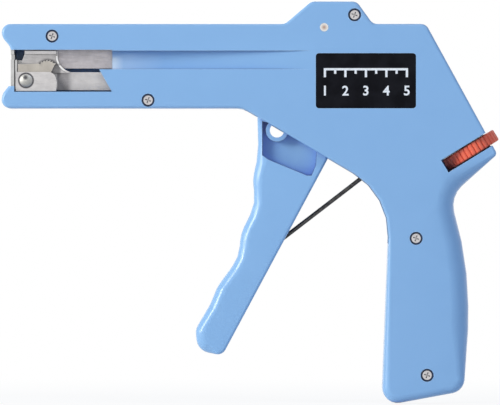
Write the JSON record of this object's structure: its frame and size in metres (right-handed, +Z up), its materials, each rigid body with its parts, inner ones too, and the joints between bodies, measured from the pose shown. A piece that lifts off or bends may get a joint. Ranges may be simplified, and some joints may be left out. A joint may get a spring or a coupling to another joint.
{
  "type": "cable tie tensioning tool",
  "caption": "Pistol-grip cable tie tensioning tool with a finger trigger, a gripper and cutter in its nose, and a thumb wheel that sets the tension.",
  "frame": {"origin": "middle of the nose plate's front face, at the height of the tie slot", "axes": "+X from the nose to the back, +Z up with the grip hanging down, Y through the thickness"},
  "size_m": [0.1756, 0.022, 0.1415],
  "materials": {
    "blue_plastic": "satin",
    "orange_plastic": "satin",
    "steel": "brushed",
    "spring_wire": "satin",
    "brass": "satin",
    "label_black": "gloss"
  },
  "bodies": {
    "housing": {"left_shell": "blue_plastic", "right_shell": "blue_plastic", "label_plate": "label_black", "shell_screws": "steel", "nose_plate": "steel", "main_pin": "steel", "return_coil": "spring_wire", "tension_spring": "spring_wire"},
    "trigger": {"trigger": "blue_plastic", "trigger_pin": "steel"},
    "pull_bar": {"pull_bar": "steel", "pull_pin": "steel", "pawl_rivet": "steel", "pawl_spring": "spring_wire"},
    "pawl": {"gripper_pawl": "steel"},
    "rocker": {"rocker": "steel", "rocker_roller": "steel", "cutter_pin": "steel"},
    "cutter_bar": {"cutter_bar": "steel"},
    "blade": {"cutter_blade": "steel"},
    "plunger": {"spring_plunger": "steel"},
    "knob": {"tension_knob": "orange_plastic", "adjusting_screw": "steel"},
    "nut": {"adjusting_nut": "brass"},
    "return_arm": {"return_arm": "spring_wire"}
  },
  "joints": [
    {"name": "trigger_swing", "type": "hinge", "parent": "housing", "child": "trigger", "pos_m": [0.11041, 0, 0.00419], "axis": [0, -1, 0], "range_deg": [0, 25], "stiffness_Nm_per_rad": 0.3, "springref_deg": -17.19},
    {"name": "pull_slide", "type": "slide", "parent": "housing", "child": "pull_bar", "axis": [1, 0, 0], "range_m": [0, 0.0083]},
    {"name": "pawl_turn", "type": "hinge", "parent": "pull_bar", "child": "pawl", "pos_m": [0.0054, 0, -0.0083], "axis": [0, 1, 0], "range_deg": [0, 8], "stiffness_Nm_per_rad": 0.005, "springref_deg": -5.73, "deforming": ["pawl_spring"]},
    {"name": "rocker_turn", "type": "hinge", "parent": "housing", "child": "rocker", "pos_m": [0.11041, 0, 0.01039], "axis": [0, 1, 0], "range_deg": [0, 8], "stiffness_Nm_per_rad": 0.5, "springref_deg": -11.46, "deforming": ["tension_spring"]},
    {"name": "cutter_slide", "type": "slide", "parent": "housing", "child": "cutter_bar", "axis": [-1, 0, 0], "range_m": [0, 0.0022]},
    {"name": "blade_lift", "type": "slide", "parent": "housing", "child": "blade", "axis": [0, 0, 1], "range_m": [0, 0.0022]},
    {"name": "plunger_slide", "type": "slide", "parent": "housing", "child": "plunger", "axis": [0.5225, 0, -0.8526], "range_m": [0, 0.0031]},
    {"name": "knob_turn", "type": "hinge", "parent": "housing", "child": "knob", "pos_m": [0.1624, 0, -0.03271], "axis": [-0.5225, 0, 0.8526], "range_deg": [0, 1080], "deforming": ["tension_spring"]},
    {"name": "nut_slide", "type": "slide", "parent": "housing", "child": "nut", "axis": [-0.5225, 0, 0.8526], "range_m": [0, 0.0031]},
    {"name": "return_swing", "type": "hinge", "parent": "housing", "child": "return_arm", "pos_m": [0.139, 0, -0.0362], "axis": [0, -1, 0], "range_deg": [0, 42]}
  ],
  "couplings": [
    {"joint": "pull_slide", "follows": "trigger_swing", "m_per_rad": 0.018799},
    {"joint": "return_swing", "follows": "trigger_swing", "ratio": 1.64},
    {"joint": "cutter_slide", "follows": "rocker_turn", "m_per_rad": 0.014951},
    {"joint": "blade_lift", "follows": "rocker_turn", "m_per_rad": 0.014951},
    {"joint": "plunger_slide", "follows": "rocker_turn", "m_per_rad": 0.021716},
    {"joint": "nut_slide", "follows": "knob_turn", "m_per_rad": 0.00015915}
  ]
}
